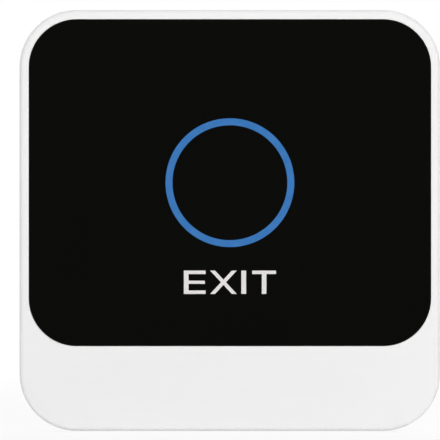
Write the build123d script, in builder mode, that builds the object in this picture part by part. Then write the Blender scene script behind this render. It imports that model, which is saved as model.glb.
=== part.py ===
from build123d import *
from math import atan, degrees, sqrt
import os

# Touch-sensitive door exit button for a square wall box, in millimetres.
#
# X runs to the right and Z runs up, as the button hangs on the wall. The wall is the plane Y = 0:
# the front faces -Y, and the wiring box reaches into the wall, towards +Y. A level is a height in
# front of the wall, so level = -Y, and what lies inside the wall has a negative level.

# Front outline
plate_size = 86.0  # width and height of the front
plate_corner = 11.8  # radius of its corners
rim_width = 2.05  # white border beside and above the panel, before the draft narrows it
chin_height = 17.4  # white band below the panel, before the draft narrows it
edge_round = 1.0  # rounding of the front edge
side_draft = 1.0  # draft of the outer sides, in degrees

# Front frame
skirt_wall = 1.8
front_wall = 1.5  # wall behind the panel
chin_wall = 1.8  # wall of the chin
chin_rib_thickness = 1.0
chin_rib_spacing = 20.0
pry_notch_width = 8.0
pry_notch_height = 1.2

# Touch panel, its adhesive and the light ring let into it
panel_thickness = 2.0
panel_gap = 0.1  # between the panel's edge and the recess
adhesive_thickness = 0.2
adhesive_inset = 1.5
adhesive_window = 34.0  # square window for the ring
ring_outer_radius = 13.1
ring_width = 1.4
ring_depth = 1.2
ring_gap = 0.05
leg_count = 8
leg_thickness = 1.0
leg_length = 3.0
leg_side_gap = 0.1
leg_tip_gap = 0.3  # between a leg and its lamp

# Base with its wiring box
base_gap = 0.3  # between the base and the frame, round the edge and under the ceiling
flange_thickness = 2.0
upstand_wall = 1.4
flange_rib_thickness = 1.2
flange_rib_height = 1.6
flange_rib_spacing = 28.0
box_wall = 1.5
box_floor = 1.2
box_chamfer = 1.0  # along the outer edges of the box
box_headroom = 0.4  # between the relay and the floor of the box
wall_hole_spacing = 60.0
wall_slot_width = 4.2
wall_slot_length = 8.2
wall_pad_border = 1.5
wall_pad_height = 0.6
post_size = 5.2
post_inset = 2.0  # post axis to the box's inner walls
pilot_depth = 8.0
sound_slot_length = 7.0
sound_slot_width = 1.2
sound_slot_pitch = 2.6
sound_slot_count = 3

# Snap hooks of the frame and their windows in the base
hook_spacing = 48.0
hook_width = 8.0
hook_thickness = 1.1
hook_nose = 0.7
hook_nose_flat = 0.2
hook_nose_height = 0.9
hook_tip_level = 0.3
hook_edge_distance = 3.8  # finger centre to the flange's edge
hook_gap = 0.2
hook_bend_room = 0.8  # behind the finger, for pressing it in
hook_play = 0.1  # between the nose and its ledge

# Circuit board and its screws
board_lift = 1.0  # board above the flange
board_thickness = 1.6
board_edge = 2.4  # screw axis to the board's side
board_end = 4.0  # screw axis to the board's end
board_hole_gap = 0.2
screw_radius = 1.1
screw_gap = 0.05
screw_length = 7.6
screw_head_radius = 1.9
screw_head_height = 1.2
screw_head_gap = 0.3  # between a screw head and the frame's ceiling
screw_slot_width = 0.6
screw_slot_length = 2.6
screw_slot_depth = 0.6

# Lamps and touch spring on the board's front
lamp_height = 0.9
lamp_width = 1.25
lamp_length = 2.0
lamp_lens_chamfer = 0.2
baffle_wall = 1.0
baffle_distance = 1.6  # light legs to the baffle walls
baffle_board_gap = 0.3
spring_wire = 0.6
spring_base_radius = 2.6
spring_top_radius = 3.9
spring_turns = 1.75
spring_wire_sides = 6
spring_hole_gap = 0.8
spring_seat_gap = 0.1

# Terminal block at the board's lower end
pole_count = 5
pole_pitch = 3.81
terminal_end_wall = 0.4
terminal_back_wall = 1.2
terminal_floor = 1.0
terminal_chamfer = 0.8
terminal_board_inset = 1.1
pocket_width = 3.0
pocket_height = 5.4
well_depth = 3.4
cage_gap = 0.15  # round a cage in its pocket, and round a screw in its well
cage_wall = 0.45
cage_length = 4.0
tongue_thickness = 0.6
tongue_gap = 0.2  # beside a tongue in its cage
pin_width = 0.9
pin_room = 1.35  # between a cage and its pin
pin_proud = 0.8  # in front of the board
pin_hole_gap = 0.12  # between a pin's corners and its hole in the board
pin_hole_sides = 6  # few, because the hole repeats
clamp_screw_radius = 1.25
clamp_screw_length = 2.8
clamp_screw_sides = 12  # few, because the screw repeats
clamp_slot_width = 0.5
clamp_slot_depth = 0.6
bay_gap = 1.2  # wiring bay round the terminal block
bay_wall = 1.0
bay_overcut = 1.0  # bay past the box's lower wall

# Parts on the board's rear
part_spacing = 1.6
row_spacing = 3.2  # between the terminals, the relay's row and the row above it
side_room = 3.2  # ends of the relay's row to the box's inner walls
top_room = 6.5  # last row to the board's upper edge
relay_length = 15.5
relay_width = 10.5
relay_height = 11.6
relay_chamfer = 0.5
relay_standoff = 0.2
diode_width = 2.7
diode_length = 4.4
diode_height = 2.2
diode_chamfer = 0.3
diode_lead_width = 1.4
diode_lead_height = 1.1
diode_lead_reach = 0.4
diode_pitch = 3.5
diode_count = 2
trimmer_size = 6.8
trimmer_height = 4.6
rotor_radius = 2.4
rotor_thickness = 1.1
rotor_proud = 0.2
rotor_gap = 0.05
rotor_slot_width = 0.7
rotor_slot_length = 3.6
rotor_slot_depth = 0.5
driver_bore_radius = 2.1
driver_tube_size = 6.6  # outside, square
driver_tube_gap = 0.4
capacitor_radius = 3.15
capacitor_height = 7.2
capacitor_score = 0.3
buzzer_radius = 4.8
buzzer_height = 5.0
buzzer_port_radius = 0.9
buzzer_port_depth = 1.5
case_width = 4.6
case_depth = 3.6
case_height = 4.6
case_pitch = 8.0
case_lead_pitch = 1.27
case_lead_width = 0.45
case_lead_length = 2.0
chip_length = 4.9
chip_width = 3.9
chip_height = 1.5
chip_pitch = 8.0
chip_lead_count = 4  # on each side
chip_lead_pitch = 1.27
chip_lead_width = 0.42
chip_lead_reach = 1.0
chip_lead_thickness = 0.25
passive_length = 2.0
passive_width = 1.25
passive_pitch = 3.2
resistor_count = 5
resistor_height = 0.5
ceramic_count = 3
ceramic_height = 0.9

# Levels, from the flange forwards to the front face and backwards to the box's floor
board_rear_level = flange_thickness + board_lift
board_front_level = board_rear_level + board_thickness
ceiling_level = board_front_level + screw_head_height + screw_head_gap
recess_level = ceiling_level + front_wall
panel_rear_level = recess_level + adhesive_thickness
front_level = panel_rear_level + panel_thickness
chin_ceiling_level = front_level - chin_wall
upstand_level = ceiling_level - base_gap
ring_floor_level = front_level - ring_depth
lamp_top_level = board_front_level + lamp_height
leg_tip_level = lamp_top_level + leg_tip_gap
box_floor_level = board_rear_level - relay_height - box_headroom
box_back_level = box_floor_level - box_floor

# Widths and places that follow from the front outline
half_plate = plate_size / 2
recess_width = plate_size - 2 * rim_width
recess_height = plate_size - rim_width - chin_height
recess_corner = plate_corner - rim_width
panel_z = half_plate - rim_width - recess_height / 2
chin_top_z = half_plate - rim_width - recess_height
cavity_size = plate_size - 2 * skirt_wall
cavity_corner = plate_corner - skirt_wall
flange_size = cavity_size - 2 * base_gap
flange_corner = cavity_corner - base_gap
ring_inner_radius = ring_outer_radius - ring_width
ring_mid_radius = ring_outer_radius - ring_width / 2
hook_z = flange_size / 2 - hook_edge_distance
hook_catch_level = hook_tip_level + hook_nose_height

# The board and the box are as wide as the relay's row and as high as the rows stacked on it
pocket_depth = cage_gap + cage_length + pin_room + pin_width
terminal_depth = pocket_depth + terminal_back_wall
diodes_width = diode_width + (diode_count - 1) * diode_pitch
row_width = relay_length + diodes_width + trimmer_size + 2 * capacitor_radius + 3 * part_spacing
chips_height = chip_width + 2 * chip_lead_reach
rows_height = case_depth + chips_height + 2 * part_spacing + passive_length + passive_pitch
box_inner_width = row_width + 2 * side_room
box_width = box_inner_width + 2 * box_wall
terminal_rows_height = terminal_board_inset + terminal_depth + 2 * row_spacing + relay_width
board_height = terminal_rows_height + rows_height + top_room
post_x = box_inner_width / 2 - post_inset
post_z = board_height / 2 - board_end
board_width = 2 * (post_x + board_edge)
box_inner_height = 2 * (post_z + post_inset)
box_height = box_inner_height + 2 * box_wall

# Centres of the parts on the board's rear
terminal_length = pole_count * pole_pitch + 2 * terminal_end_wall
terminal_face_z = terminal_board_inset - board_height / 2
terminal_z = terminal_face_z + terminal_depth / 2
relay_z = terminal_face_z + terminal_depth + row_spacing + relay_width / 2
relay_x = (relay_length - row_width) / 2
diode_x = relay_x + relay_length / 2 + part_spacing + diodes_width / 2
trimmer_x = diode_x + diodes_width / 2 + part_spacing + trimmer_size / 2
capacitor_x = trimmer_x + trimmer_size / 2 + part_spacing + capacitor_radius
case_z = relay_z + relay_width / 2 + row_spacing + case_depth / 2
chip_z = case_z + case_depth / 2 + part_spacing + chips_height / 2
resistor_z = chip_z + chips_height / 2 + part_spacing + passive_length / 2
buzzer_x = -(chip_pitch + chip_length) / 2 - part_spacing - buzzer_radius
buzzer_z = chip_z

signs = (-1, 1)
post_places = [(m * post_x, n * post_z) for m in signs for n in signs]
screw_places = [(-post_x, post_z), (post_x, -post_z)]
relay_place = [(relay_x, relay_z)]
trimmer_place = [(trimmer_x, relay_z)]
capacitor_place = [(capacitor_x, relay_z)]
buzzer_place = [(buzzer_x, buzzer_z)]


def spread(count, pitch):
    """Offsets of evenly spaced copies about their middle."""
    return [(n - (count - 1) / 2) * pitch for n in range(count)]


def facing(level, x=0.0, z=0.0):
    """Plane parallel to the wall at a level, facing the front, with its origin over (x, z)."""
    return Plane(origin=(x, -level, z), x_dir=(1, 0, 0), z_dir=(0, -1, 0))


def block(width, height, low, high, places=((0, 0),), corner=0.0, mode=Mode.ADD):
    """Rectangles centred on the places, with rounded corners if asked, from level low to high."""
    with BuildSketch(facing(low)) as outline:
        with Locations(*places):
            if corner:
                RectangleRounded(width, height, corner)
            else:
                Rectangle(width, height)
    extrude(outline.sketch, amount=high - low, mode=mode)


def disc(radius, low, high, places=((0, 0),), mode=Mode.ADD):
    """Discs centred on the places, from level low to level high."""
    with BuildSketch(facing(low)) as outline:
        with Locations(*places):
            Circle(radius)
    extrude(outline.sketch, amount=high - low, mode=mode)


def hoop(outer_radius, inner_radius, low, high, mode=Mode.ADD):
    """Hoop round the middle of the panel, from level low to level high."""
    with BuildSketch(facing(low, z=panel_z)) as outline:
        Circle(outer_radius)
        Circle(inner_radius, mode=Mode.SUBTRACT)
    extrude(outline.sketch, amount=high - low, mode=mode)


def lamp_polygon(radius, mode=Mode.ADD):
    """Polygon with one flat side facing each lamp, whose sides touch a circle of the radius."""
    RegularPolygon(radius, leg_count, major_radius=False, rotation=180 / leg_count, mode=mode)


def baffle(inner_radius, low, high):
    """Wall round the middle of the panel, flat towards each lamp."""
    with BuildSketch(facing(low, z=panel_z)) as outline:
        lamp_polygon(inner_radius + baffle_wall)
        lamp_polygon(inner_radius, mode=Mode.SUBTRACT)
    extrude(outline.sketch, amount=high - low)


def around_ring(radial, tangential, low, high, mode=Mode.ADD):
    """One rectangle over each lamp, round the middle of the panel, from level low to high."""
    with BuildSketch(facing(low, z=panel_z)) as outline:
        with PolarLocations(ring_mid_radius, leg_count):
            Rectangle(radial, tangential)
    extrude(outline.sketch, amount=high - low, mode=mode)


os.makedirs("parts", exist_ok=True)

# Front frame: a drafted shell with the panel's recess, a cored chin, light baffles and snap hooks
with BuildPart() as front_frame:
    with BuildSketch(facing(0)):
        RectangleRounded(plate_size, plate_size, plate_corner)
    extrude(amount=front_level, taper=side_draft)
    fillet(front_frame.edges().group_by(Axis.Y)[0], edge_round)
    block(cavity_size, cavity_size, 0, ceiling_level, corner=cavity_corner, mode=Mode.SUBTRACT)
    block(
        recess_width,
        recess_height,
        recess_level,
        front_level,
        places=[(0, panel_z)],
        corner=recess_corner,
        mode=Mode.SUBTRACT,
    )
    # The chin is cored out up to its own wall, and ribs cross the hollow
    hollow_top_z = chin_top_z - front_wall
    hollow_height = cavity_size / 2 + hollow_top_z
    hollow_z = hollow_top_z - hollow_height / 2
    with BuildSketch(facing(ceiling_level)):
        RectangleRounded(cavity_size, cavity_size, cavity_corner)
        with Locations((0, hollow_z)):
            Rectangle(cavity_size, hollow_height, mode=Mode.INTERSECT)
    extrude(amount=chin_ceiling_level - ceiling_level, mode=Mode.SUBTRACT)
    block(
        chin_rib_thickness,
        hollow_height,
        ceiling_level,
        chin_ceiling_level,
        places=[(x, hollow_z) for x in spread(2, chin_rib_spacing)],
    )
    # Two baffles keep the lamps' light in the ring
    baffle_level = board_front_level + baffle_board_gap
    baffle_reach = leg_thickness / 2 + baffle_distance
    baffle(ring_mid_radius + baffle_reach, baffle_level, ceiling_level)
    baffle(ring_mid_radius - baffle_reach - baffle_wall, baffle_level, ceiling_level)
    around_ring(
        leg_thickness + 2 * leg_side_gap,
        leg_length + 2 * leg_side_gap,
        ceiling_level,
        recess_level,
        mode=Mode.SUBTRACT,
    )
    with BuildSketch(facing(ceiling_level, z=panel_z)):
        lamp_polygon(spring_top_radius + spring_wire / 2 + spring_hole_gap)
    extrude(amount=front_wall, mode=Mode.SUBTRACT)
    # Snap hooks above and below, each a finger with a ramped nose that points outwards
    for side, root_level in ((1, ceiling_level), (-1, chin_ceiling_level)):
        inner_z = side * (hook_z - hook_thickness / 2)
        outer_z = side * (hook_z + hook_thickness / 2)
        nose_z = outer_z + side * hook_nose
        with BuildSketch(Plane.YZ) as hook_outline:
            with BuildLine():
                Polyline(
                    (-root_level, inner_z),
                    (-hook_tip_level, inner_z),
                    (-hook_tip_level, outer_z),
                    (hook_nose_flat - hook_catch_level, nose_z),
                    (-hook_catch_level, nose_z),
                    (-hook_catch_level, outer_z),
                    (-root_level, outer_z),
                    close=True,
                )
            make_face()
        hook = extrude(hook_outline.sketch, hook_width / 2, both=True, mode=Mode.PRIVATE)
        with Locations(*[(x, 0, 0) for x in spread(2, hook_spacing)]):
            add(hook)
    # Notch in the lower edge, where a flat tool lifts the frame off
    block(
        pry_notch_width,
        2 * skirt_wall,
        0,
        pry_notch_height,
        places=[(0, -half_plate)],
        mode=Mode.SUBTRACT,
    )
front_frame.part.label = "front_frame"
export_step(front_frame.part, "parts/front_frame.step")

# Touch panel: a gloss black plate with a groove for the light ring and slots for its legs
with BuildPart() as touch_panel:
    block(
        recess_width - 2 * panel_gap,
        recess_height - 2 * panel_gap,
        panel_rear_level,
        front_level,
        places=[(0, panel_z)],
        corner=recess_corner - panel_gap,
    )
    hoop(
        ring_outer_radius + ring_gap,
        ring_inner_radius - ring_gap,
        ring_floor_level,
        front_level,
        mode=Mode.SUBTRACT,
    )
    around_ring(
        leg_thickness + 2 * leg_side_gap,
        leg_length + 2 * leg_side_gap,
        panel_rear_level,
        ring_floor_level,
        mode=Mode.SUBTRACT,
    )
touch_panel.part.label = "touch_panel"
export_step(touch_panel.part, "parts/touch_panel.step")

# Light ring: a translucent hoop flush with the panel, with a leg over each lamp
with BuildPart() as light_ring:
    hoop(ring_outer_radius, ring_inner_radius, ring_floor_level, front_level)
    around_ring(leg_thickness, leg_length, leg_tip_level, ring_floor_level)
light_ring.part.label = "light_ring"
export_step(light_ring.part, "parts/light_ring.step")

# Panel adhesive: a die-cut sheet with a square window for the ring and the touch spring
with BuildPart() as panel_adhesive:
    block(
        recess_width - 2 * adhesive_inset,
        recess_height - 2 * adhesive_inset,
        recess_level,
        panel_rear_level,
        places=[(0, panel_z)],
        corner=recess_corner - adhesive_inset,
    )
    block(
        adhesive_window,
        adhesive_window,
        recess_level,
        panel_rear_level,
        places=[(0, panel_z)],
        mode=Mode.SUBTRACT,
    )
panel_adhesive.part.label = "panel_adhesive"
export_step(panel_adhesive.part, "parts/panel_adhesive.step")

# Base: the flange in the frame's skirt, its upstand and ribs, and the wiring box behind it
with BuildPart() as base_housing:
    block(flange_size, flange_size, 0, upstand_level, corner=flange_corner)
    block(
        flange_size - 2 * upstand_wall,
        flange_size - 2 * upstand_wall,
        flange_thickness,
        upstand_level,
        corner=flange_corner - upstand_wall,
        mode=Mode.SUBTRACT,
    )
    # Ribs stiffen the flange between the board's edges and the upstand
    upstand_inside = flange_size / 2 - upstand_wall
    side_rib_run = upstand_inside - board_width / 2 - part_spacing
    end_rib_run = upstand_inside - board_height / 2 - part_spacing
    side_rib_x = upstand_inside - side_rib_run / 2
    end_rib_z = upstand_inside - end_rib_run / 2
    rib_level = flange_thickness + flange_rib_height
    block(
        side_rib_run,
        flange_rib_thickness,
        flange_thickness,
        rib_level,
        places=[(m * side_rib_x, z) for m in signs for z in spread(2, flange_rib_spacing)],
    )
    block(
        flange_rib_thickness,
        end_rib_run,
        flange_thickness,
        rib_level,
        places=[(x, n * end_rib_z) for x in spread(2, flange_rib_spacing) for n in signs],
    )
    # Slots for the two wall screws, each in a raised pad
    wall_places = [(x, 0) for x in spread(2, wall_hole_spacing)]
    pad_level = flange_thickness + wall_pad_height
    block(
        wall_slot_length + 2 * wall_pad_border,
        wall_slot_width + 2 * wall_pad_border,
        flange_thickness,
        pad_level,
        places=wall_places,
    )
    # Wiring box, open towards the front
    block(box_width, box_height, box_back_level, 0)
    behind_flange = base_housing.edges().filter_by(Axis.Y).filter_by_position(
        Axis.Y, 0, -box_back_level
    )
    chamfer([*behind_flange, *base_housing.edges().group_by(Axis.Y)[-1]], box_chamfer)
    block(
        box_inner_width,
        box_inner_height,
        box_floor_level,
        flange_thickness,
        mode=Mode.SUBTRACT,
    )
    with BuildSketch(facing(0)):
        with Locations(*wall_places):
            SlotOverall(wall_slot_length, wall_slot_width)
    extrude(amount=pad_level, mode=Mode.SUBTRACT)
    # Windows for the snap hooks, with a ledge that the nose catches from behind
    window_inner_z = hook_z - hook_thickness / 2 - hook_bend_room
    window_outer_z = hook_z + hook_thickness / 2 + hook_gap
    for outer_z, high in (
        (window_outer_z, flange_thickness),
        (window_outer_z + hook_nose, hook_catch_level + hook_play),
    ):
        window_z = (window_inner_z + outer_z) / 2
        block(
            hook_width + 2 * hook_gap,
            outer_z - window_inner_z,
            0,
            high,
            places=[(x, n * window_z) for x in spread(2, hook_spacing) for n in signs],
            mode=Mode.SUBTRACT,
        )
    # Board posts in the corners, two of them bored for screws, and a tube for a screwdriver
    rotor_face_level = board_rear_level - trimmer_height - rotor_proud
    driver_tube_level = rotor_face_level - driver_tube_gap
    block(post_size, post_size, box_floor_level, board_rear_level, places=post_places)
    disc(
        screw_radius + screw_gap,
        board_rear_level - pilot_depth,
        board_rear_level,
        screw_places,
        mode=Mode.SUBTRACT,
    )
    block(driver_tube_size, driver_tube_size, box_floor_level, driver_tube_level, trimmer_place)
    disc(
        driver_bore_radius,
        box_back_level,
        driver_tube_level,
        trimmer_place,
        mode=Mode.SUBTRACT,
    )
    # Sound slots over the buzzer
    block(
        sound_slot_length,
        sound_slot_width,
        box_back_level,
        box_floor_level,
        places=[(buzzer_x, buzzer_z + z) for z in spread(sound_slot_count, sound_slot_pitch)],
        mode=Mode.SUBTRACT,
    )
    # Wiring bay: walled off from the electronics, open behind and below the terminal block
    bay_width = terminal_length + 2 * bay_gap
    bay_top_z = terminal_face_z + terminal_depth + bay_gap
    bay_wall_bottom_z = -box_inner_height / 2
    bay_wall_height = bay_top_z + bay_wall - bay_wall_bottom_z
    block(
        bay_width + 2 * bay_wall,
        bay_wall_height,
        box_floor_level,
        flange_thickness,
        places=[(0, bay_wall_bottom_z + bay_wall_height / 2)],
    )
    bay_bottom_z = -box_height / 2 - bay_overcut
    block(
        bay_width,
        bay_top_z - bay_bottom_z,
        box_back_level,
        flange_thickness,
        places=[(0, (bay_top_z + bay_bottom_z) / 2)],
        mode=Mode.SUBTRACT,
    )
base_housing.part.label = "base_housing"
export_step(base_housing.part, "parts/base_housing.step")

# Circuit board, drilled for its screws and for the terminal pins
pole_x = spread(pole_count, pole_pitch)
pin_z = terminal_face_z + pocket_depth - pin_width / 2
pin_places = [(x, pin_z) for x in pole_x]
with BuildPart() as circuit_board:
    block(board_width, board_height, board_rear_level, board_front_level)
    disc(
        screw_radius + board_hole_gap,
        board_rear_level,
        board_front_level,
        screw_places,
        mode=Mode.SUBTRACT,
    )
    pin_hole_radius = pin_width / sqrt(2) + pin_hole_gap
    with BuildSketch(facing(board_rear_level)):
        with Locations(*pin_places):
            RegularPolygon(pin_hole_radius, pin_hole_sides, major_radius=False)
    extrude(amount=board_thickness, mode=Mode.SUBTRACT)
circuit_board.part.label = "circuit_board"
export_step(circuit_board.part, "parts/circuit_board.step")

# Board screws: flat heads with a slot, in the pilot holes of two posts
with BuildPart() as board_screws:
    head_level = board_front_level + screw_head_height
    disc(screw_head_radius, board_front_level, head_level, screw_places)
    disc(screw_radius, board_front_level - screw_length, board_front_level, screw_places)
    block(
        screw_slot_length,
        screw_slot_width,
        head_level - screw_slot_depth,
        head_level,
        places=screw_places,
        mode=Mode.SUBTRACT,
    )
board_screws.part.label = "board_screws"
export_step(board_screws.part, "parts/board_screws.step")

# Ring lamps: one small light under each leg of the light ring
with BuildPart() as ring_lamps:
    around_ring(lamp_width, lamp_length, board_front_level, lamp_top_level)
    chamfer(ring_lamps.edges().group_by(Axis.Y)[0], lamp_lens_chamfer)
ring_lamps.part.label = "ring_lamps"
export_step(ring_lamps.part, "parts/ring_lamps.step")

# Touch spring: a conical coil from the board to the back of the panel
with BuildPart() as touch_spring:
    coil_low = board_front_level + spring_wire / 2
    coil_rise = panel_rear_level - spring_seat_gap - spring_wire / 2 - coil_low
    with BuildLine() as coil:
        Helix(
            pitch=coil_rise / spring_turns,
            height=coil_rise,
            radius=spring_base_radius,
            center=(0, -coil_low, panel_z),
            direction=(0, -1, 0),
            cone_angle=degrees(atan((spring_top_radius - spring_base_radius) / coil_rise)),
        )
    with BuildSketch(coil.line ^ 0):
        RegularPolygon(spring_wire / 2, spring_wire_sides)
    sweep(path=coil.line, is_frenet=True)
touch_spring.part.label = "touch_spring"
export_step(touch_spring.part, "parts/touch_spring.step")

# Terminal block: one moulding with a screw well and a wire pocket for each pole
pocket_floor_level = board_rear_level - terminal_floor
pocket_back_level = pocket_floor_level - pocket_height
terminal_back_level = pocket_back_level - well_depth
clamp_z = terminal_face_z + cage_gap + cage_length / 2
clamp_places = [(x, clamp_z) for x in pole_x]
with BuildPart() as terminal_block:
    block(
        terminal_length,
        terminal_depth,
        terminal_back_level,
        board_rear_level,
        places=[(0, terminal_z)],
    )
    rear_edges = terminal_block.edges().group_by(Axis.Y)[-1]
    chamfer(rear_edges.filter_by(Axis.X), terminal_chamfer)
    block(
        pocket_width,
        pocket_depth,
        pocket_back_level,
        pocket_floor_level,
        places=[(x, terminal_face_z + pocket_depth / 2) for x in pole_x],
        mode=Mode.SUBTRACT,
    )
    disc(
        clamp_screw_radius + cage_gap,
        terminal_back_level,
        pocket_back_level,
        clamp_places,
        mode=Mode.SUBTRACT,
    )
    block(
        pin_width,
        pin_width,
        pocket_floor_level,
        board_rear_level,
        places=pin_places,
        mode=Mode.SUBTRACT,
    )
terminal_block.part.label = "terminal_block"
export_step(terminal_block.part, "parts/terminal_block.step")

# Wire clamps: a square cage in each pocket, open along the wire
cage_width = pocket_width - 2 * cage_gap
cage_low = pocket_back_level + cage_gap
cage_high = pocket_floor_level - cage_gap
with BuildPart() as wire_clamps:
    block(cage_width, cage_length, cage_low, cage_high, places=clamp_places)
    block(
        cage_width - 2 * cage_wall,
        cage_length,
        cage_low + cage_wall,
        cage_high - cage_wall,
        places=clamp_places,
        mode=Mode.SUBTRACT,
    )
wire_clamps.part.label = "wire_clamps"
export_step(wire_clamps.part, "parts/wire_clamps.step")

# Contact tongues: each lies in its cage under the screw and turns down to a pin in the board
with BuildPart() as contact_tongues:
    tongue_low = cage_low + cage_wall
    tongue_end_z = pin_z + pin_width / 2
    tongue_run = tongue_end_z - (clamp_z - cage_length / 2)
    block(
        cage_width - 2 * cage_wall - 2 * tongue_gap,
        tongue_run,
        tongue_low,
        tongue_low + tongue_thickness,
        places=[(x, tongue_end_z - tongue_run / 2) for x in pole_x],
    )
    block(
        pin_width,
        pin_width,
        tongue_low,
        board_front_level + pin_proud,
        places=pin_places,
    )
contact_tongues.part.label = "contact_tongues"
export_step(contact_tongues.part, "parts/contact_tongues.step")

# Terminal screws: headless and slotted, each in its well on the back of its cage
with BuildPart() as terminal_screws:
    screw_back_level = cage_low - clamp_screw_length
    with BuildSketch(facing(screw_back_level)):
        with Locations(*clamp_places):
            RegularPolygon(clamp_screw_radius, clamp_screw_sides)
    extrude(amount=clamp_screw_length)
    block(
        2 * clamp_screw_radius,
        clamp_slot_width,
        screw_back_level,
        screw_back_level + clamp_slot_depth,
        places=clamp_places,
        mode=Mode.SUBTRACT,
    )
terminal_screws.part.label = "terminal_screws"
export_step(terminal_screws.part, "parts/terminal_screws.step")

# Relay: a sealed case on a low foot along each long side
with BuildPart() as relay:
    block(
        relay_length,
        relay_width,
        board_rear_level - relay_height,
        board_rear_level - relay_standoff,
        places=relay_place,
    )
    chamfer(relay.edges().filter_by(Axis.Y), relay_chamfer)
    foot_z = relay_width / 2 - relay_chamfer
    block(
        relay_length - 2 * relay_chamfer,
        relay_chamfer,
        board_rear_level - relay_standoff,
        board_rear_level,
        places=[(relay_x, relay_z + n * foot_z) for n in signs],
    )
relay.part.label = "relay"
export_step(relay.part, "parts/relay.step")

# Rectifier diodes: flat moulded bodies with a folded lead at each end
with BuildPart() as rectifier_diodes:
    diode_places = [(diode_x + x, relay_z) for x in spread(diode_count, diode_pitch)]
    diode_level = board_rear_level - diode_height
    block(diode_width, diode_length, diode_level, board_rear_level, places=diode_places)
    chamfer(rectifier_diodes.edges().group_by(Axis.Y)[-1], diode_chamfer)
    block(
        diode_lead_width,
        diode_length + 2 * diode_lead_reach,
        board_rear_level - diode_lead_height,
        board_rear_level,
        places=diode_places,
    )
rectifier_diodes.part.label = "rectifier_diodes"
export_step(rectifier_diodes.part, "parts/rectifier_diodes.step")

# Trimmer body: a square case with a round well for the rotor
rotor_floor_level = rotor_face_level + rotor_thickness
with BuildPart() as trimmer_body:
    trimmer_face_level = board_rear_level - trimmer_height
    block(trimmer_size, trimmer_size, trimmer_face_level, board_rear_level, trimmer_place)
    disc(
        rotor_radius + rotor_gap,
        trimmer_face_level,
        rotor_floor_level + rotor_gap,
        trimmer_place,
        mode=Mode.SUBTRACT,
    )
trimmer_body.part.label = "trimmer_body"
export_step(trimmer_body.part, "parts/trimmer_body.step")

# Trimmer rotor: turned with a screwdriver to set how long the door stays released
with BuildPart() as trimmer_rotor:
    disc(rotor_radius, rotor_face_level, rotor_floor_level, trimmer_place)
    block(
        rotor_slot_width,
        rotor_slot_length,
        rotor_face_level,
        rotor_face_level + rotor_slot_depth,
        places=trimmer_place,
        mode=Mode.SUBTRACT,
    )
trimmer_rotor.part.label = "trimmer_rotor"
export_step(trimmer_rotor.part, "parts/trimmer_rotor.step")

# Filter capacitor: a can whose end is scored as a vent
with BuildPart() as filter_capacitor:
    can_end_level = board_rear_level - capacitor_height
    disc(capacitor_radius, can_end_level, board_rear_level, capacitor_place)
    for width, height in (
        (capacitor_radius, capacitor_score),
        (capacitor_score, capacitor_radius),
    ):
        block(
            width,
            height,
            can_end_level,
            can_end_level + capacitor_score,
            places=capacitor_place,
            mode=Mode.SUBTRACT,
        )
filter_capacitor.part.label = "filter_capacitor"
export_step(filter_capacitor.part, "parts/filter_capacitor.step")

# Buzzer: a round case with its sound port facing the slots in the box
with BuildPart() as buzzer:
    buzzer_end_level = board_rear_level - buzzer_height
    disc(buzzer_radius, buzzer_end_level, board_rear_level, buzzer_place)
    disc(
        buzzer_port_radius,
        buzzer_end_level,
        buzzer_end_level + buzzer_port_depth,
        buzzer_place,
        mode=Mode.SUBTRACT,
    )
buzzer.part.label = "buzzer"
export_step(buzzer.part, "parts/buzzer.step")


def cased_part(x, z):
    """Three-legged part: a round case with one flat side, standing off the board on its leads."""
    case_low = board_rear_level - case_lead_length - case_height
    with BuildSketch(facing(case_low, x, z)) as case:
        Circle(case_width / 2)
        with Locations((0, (case_depth - case_width) / 2)):
            Rectangle(case_width, case_depth, mode=Mode.INTERSECT)
    extrude(case.sketch, amount=case_height)
    block(
        case_lead_width,
        case_lead_width,
        case_low + case_height,
        board_rear_level,
        places=[(x + lead_x, z) for lead_x in spread(3, case_lead_pitch)],
    )


def leaded_chip(x, z):
    """Flat chip with gull-wing leads along both long sides, seated on the board by its leads."""
    body_level = board_rear_level - chip_lead_thickness / 2
    block(chip_length, chip_width, body_level - chip_height, body_level, [(x, z)])
    side_y = chip_height / 2 - body_level
    toe_y = chip_lead_thickness - board_rear_level
    for side in signs:
        body_z = z + side * chip_width / 2
        toe_z = body_z + side * chip_lead_reach
        with BuildSketch(Plane.YZ.offset(x)) as lead:
            with BuildLine():
                Polyline(
                    (side_y, body_z),
                    (-board_rear_level, body_z + side * chip_lead_thickness),
                    (-board_rear_level, toe_z),
                    (toe_y, toe_z),
                    (toe_y, body_z + side * 2 * chip_lead_thickness),
                    (side_y + chip_lead_thickness, body_z),
                    close=True,
                )
            make_face()
        wing = extrude(lead.sketch, chip_lead_width / 2, both=True, mode=Mode.PRIVATE)
        with Locations(*[(lead_x, 0, 0) for lead_x in spread(chip_lead_count, chip_lead_pitch)]):
            add(wing)


# Voltage regulator and relay transistor: two cased parts above the relay's row
regulator_x, transistor_x = spread(2, case_pitch)
with BuildPart() as voltage_regulator:
    cased_part(regulator_x, case_z)
voltage_regulator.part.label = "voltage_regulator"
export_step(voltage_regulator.part, "parts/voltage_regulator.step")

with BuildPart() as relay_transistor:
    cased_part(transistor_x, case_z)
relay_transistor.part.label = "relay_transistor"
export_step(relay_transistor.part, "parts/relay_transistor.step")

# Touch chip and timer chip, side by side above them
touch_x, timer_x = spread(2, chip_pitch)
with BuildPart() as touch_chip:
    leaded_chip(touch_x, chip_z)
touch_chip.part.label = "touch_chip"
export_step(touch_chip.part, "parts/touch_chip.step")

with BuildPart() as timer_chip:
    leaded_chip(timer_x, chip_z)
timer_chip.part.label = "timer_chip"
export_step(timer_chip.part, "parts/timer_chip.step")

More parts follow.
